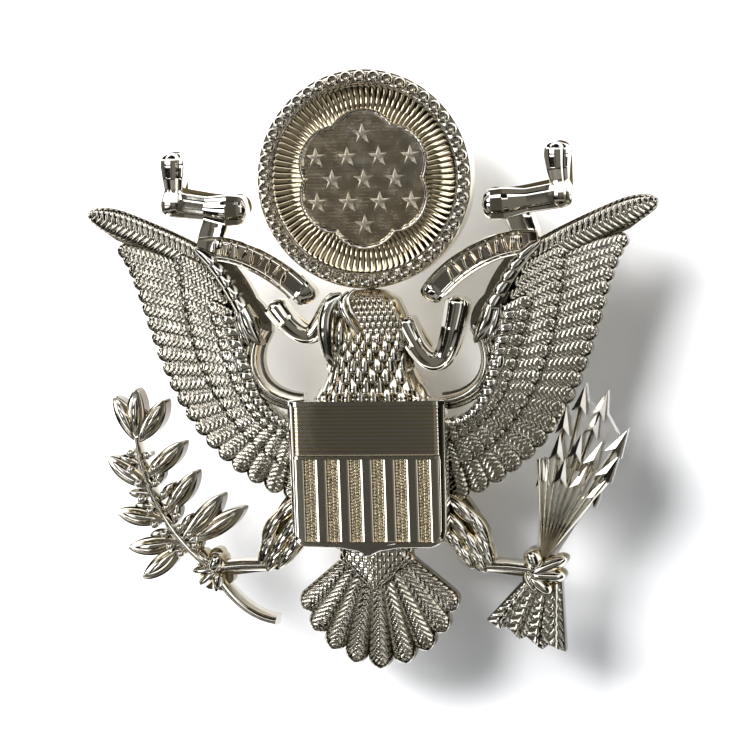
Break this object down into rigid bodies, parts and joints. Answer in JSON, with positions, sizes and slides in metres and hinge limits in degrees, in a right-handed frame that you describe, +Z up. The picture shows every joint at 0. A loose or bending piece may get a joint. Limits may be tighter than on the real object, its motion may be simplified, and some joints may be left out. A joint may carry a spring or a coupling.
{
  "type": "cap badge",
  "caption": "Spread-eagle cap badge with shield, branch, arrows and starred disc, held to a cap by a rear screw post, pressure washer and thumb nut.",
  "frame": {"origin": "on the screw post's axis, in the plane of the badge's flat back", "axes": "+Y out of the back along the screw post, +Z up as the badge is worn, +X to the viewer's right; the face looks along -Y"},
  "size_m": [0.0582, 0.0162, 0.0603],
  "materials": {
    "nickel_relief": "bright nickel plate over a cast relief, slightly soft reflections",
    "nickel_polished": "bright nickel plate, mirror polished",
    "gilt_recess": "pale warm plate in the recesses, finely grained",
    "post_steel": "plated steel, satin",
    "clutch_brass": "lacquered brass, satin"
  },
  "bodies": {
    "badge": {"torso": "nickel_relief", "head": "nickel_relief", "wing_left": "nickel_relief", "wing_right": "nickel_relief", "tail_coverts": "nickel_relief", "tail_feathers": "nickel_relief", "leg_left": "nickel_relief", "leg_right": "nickel_relief", "glory_disc": "nickel_relief", "star_field": "nickel_relief", "disc_beads": "nickel_relief", "olive_stem": "nickel_relief", "olive_leaves": "nickel_relief", "arrow_shafts": "nickel_relief", "arrow_fletching": "nickel_relief", "shield_chief": "nickel_relief", "shield": "nickel_polished", "stars": "nickel_polished", "scroll_band_left": "nickel_polished", "scroll_band_right": "nickel_polished", "scroll_end_left": "nickel_polished", "scroll_end_right": "nickel_polished", "scroll_wave_left": "nickel_polished", "scroll_wave_right": "nickel_polished", "olive_berries": "nickel_polished", "arrow_heads": "nickel_polished", "shield_stripes": "gilt_recess", "screw_post": "post_steel", "locating_pins": "post_steel"},
    "washer": {"pressure_washer": "clutch_brass"},
    "nut": {"thumb_nut": "clutch_brass"}
  },
  "joints": [
    {"name": "washer_slide", "type": "slide", "parent": "badge", "child": "washer", "axis": [0, 1, 0], "range_m": [0, 0.0084]},
    {"name": "nut_turn", "type": "hinge", "parent": "washer", "child": "nut", "pos_m": [0, 0, 0], "axis": [0, 1, 0], "range_deg": [0, 4320]}
  ],
  "couplings": [
    {"joint": "nut_turn", "follows": "washer_slide", "rad_per_m": 8976}
  ]
}
